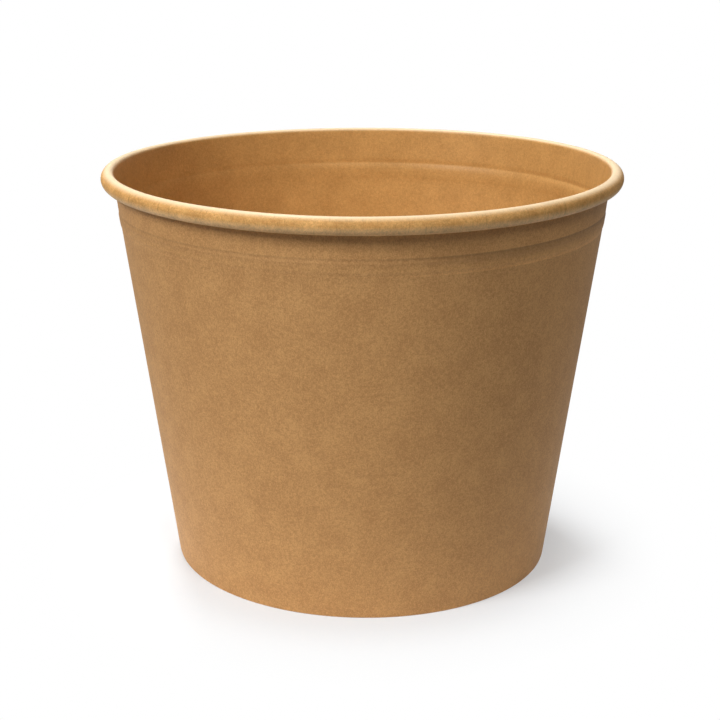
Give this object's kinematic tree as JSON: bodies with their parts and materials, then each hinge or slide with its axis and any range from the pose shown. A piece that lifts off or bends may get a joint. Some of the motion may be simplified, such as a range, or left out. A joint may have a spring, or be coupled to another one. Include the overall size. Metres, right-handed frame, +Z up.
{
  "type": "paper chicken bucket",
  "caption": "Tapered round bucket of kraft paperboard with a rolled rim, a stacking bead and a recessed base, open at the top for takeaway food.",
  "frame": {"origin": "centre of the ring that the bucket stands on, at floor level", "axes": "+Z up along the axis that the bucket is turned about; +X towards the side seam; -Y towards the viewer of the picture"},
  "size_m": [0.183, 0.183, 0.1426],
  "materials": {
    "kraft_wall": "matte kraft board, smoother and slightly glossy on its coated inside face",
    "kraft_base": "matte kraft board, coated on its upper face"
  },
  "bodies": {
    "root": {"sidewall": "kraft_wall", "bottom_disc": "kraft_base"}
  },
  "joints": []
}
